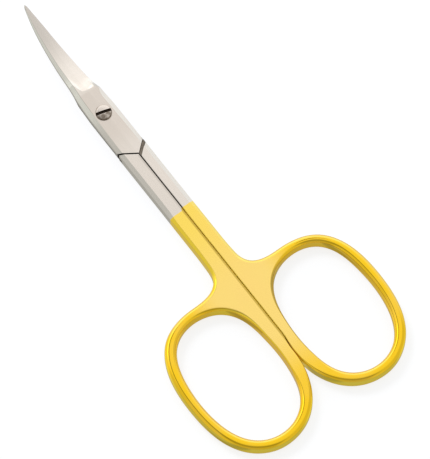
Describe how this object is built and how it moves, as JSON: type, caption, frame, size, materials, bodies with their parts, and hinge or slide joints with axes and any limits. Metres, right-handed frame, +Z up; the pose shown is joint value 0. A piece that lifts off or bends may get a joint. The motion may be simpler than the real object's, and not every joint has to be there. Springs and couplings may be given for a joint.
{
  "type": "curved cuticle scissors",
  "caption": "Small curved-blade cuticle scissors with gilt oval finger bows, two crossing steel halves on a slotted pivot screw that opens and closes.",
  "frame": {"origin": "on the table the closed scissors lie on, in the middle of their footprint; the pivot axis stands 21.83 mm towards the tips from it, and the plane where the halves meet is 1.45 mm above it", "axes": "+Y from the finger bows to the blade tips, +Z up, along the pivot axis out of the screw head, +X towards the upper half's finger bow; the scissors are closed"},
  "size_m": [0.0406, 0.0902, 0.0067],
  "materials": {
    "polished_steel_gilt_handle": "polished nickel-bright steel blade and joint, thin bright gold plating on the shanks and bows from 22.7 mm behind the pivot",
    "screw_steel": "turned steel, lightly tarnished, with a dark slot"
  },
  "bodies": {
    "lower_half": {"lower_half": "polished_steel_gilt_handle"},
    "upper_half": {"upper_half": "polished_steel_gilt_handle"},
    "pivot_screw": {"pivot_screw": "screw_steel"}
  },
  "joints": [
    {"name": "blade_pivot", "type": "hinge", "parent": "lower_half", "child": "upper_half", "pos_m": [0, 0.02183, 0.00145], "axis": [0, 0, 1], "range_deg": [0, 65]},
    {"name": "screw_adjust", "type": "hinge", "parent": "lower_half", "child": "pivot_screw", "pos_m": [0, 0.02183, 0.00145], "axis": [0, 0, 1], "range_deg": [-45, 45]}
  ]
}
